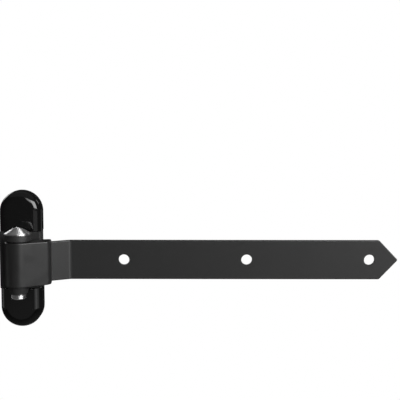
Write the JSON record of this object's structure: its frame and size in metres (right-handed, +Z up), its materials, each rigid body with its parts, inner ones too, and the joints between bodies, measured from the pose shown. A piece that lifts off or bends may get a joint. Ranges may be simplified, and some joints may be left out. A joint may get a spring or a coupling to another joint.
{
  "type": "adjustable gate hinge",
  "caption": "Gate hinge with a long pointed strap, a cranked knuckle on an upright pin, and a capped housing that hides side and height adjustment.",
  "frame": {"origin": "centre of the base plate's back face, on the post", "axes": "+X along the strap, +Y into the post, +Z up along the hinge pin"},
  "size_m": [0.4049, 0.0556, 0.14],
  "materials": {
    "strap_coating": "fine textured matt black powder coat",
    "knuckle_coating": "fine textured satin black powder coat",
    "body_coating": "satin black powder coat",
    "cap_plastic": "glossy black moulded plastic",
    "bright_steel": "turned stainless steel",
    "zinc_plate": "zinc plated",
    "screw_steel": "zinc plated screw",
    "spring_steel": "blackened spring steel",
    "bush_plastic": "black bearing plastic"
  },
  "bodies": {
    "base": {"base_plate": "zinc_plate"},
    "side_screw": {"side_adjusting_screw": "screw_steel", "side_screw_clip": "spring_steel"},
    "slide": {"slide_plate": "zinc_plate", "upper_clamp_screw": "screw_steel", "lower_clamp_screw": "screw_steel", "upper_clamp_washer": "zinc_plate", "lower_clamp_washer": "zinc_plate", "upper_clamp_nut": "zinc_plate", "lower_clamp_nut": "zinc_plate"},
    "height_screw": {"height_adjusting_screw": "screw_steel"},
    "housing": {"hinge_body": "body_coating", "upper_cap": "cap_plastic", "lower_cap": "cap_plastic", "hinge_pin": "bright_steel", "pin_ring": "spring_steel"},
    "leaf": {"knuckle": "knuckle_coating", "upper_bush": "bush_plastic", "lower_bush": "bush_plastic", "upper_strap_screw": "screw_steel", "lower_strap_screw": "screw_steel", "strap": "strap_coating"}
  },
  "joints": [
    {"name": "side_adjust", "type": "slide", "parent": "base", "child": "slide", "axis": [1, 0, 0], "range_m": [-0.004, 0.004]},
    {"name": "side_screw_turn", "type": "hinge", "parent": "base", "child": "side_screw", "pos_m": [0, -0.012, 0.012], "axis": [1, 0, 0], "range_deg": [-1801, 1801]},
    {"name": "height_adjust", "type": "slide", "parent": "slide", "child": "housing", "axis": [0, 0, 1], "range_m": [-0.004, 0.004]},
    {"name": "height_screw_turn", "type": "hinge", "parent": "slide", "child": "height_screw", "pos_m": [-0.008, -0.012, 0], "axis": [0, 0, 1], "range_deg": [-1441, 1441]},
    {"name": "gate_swing", "type": "hinge", "parent": "housing", "child": "leaf", "pos_m": [0.002, -0.0423, 0], "axis": [0, 0, -1], "range_deg": [0, 180]}
  ],
  "couplings": [
    {"joint": "side_screw_turn", "follows": "side_adjust", "rad_per_m": -7854},
    {"joint": "height_screw_turn", "follows": "height_adjust", "rad_per_m": -6283.2}
  ]
}
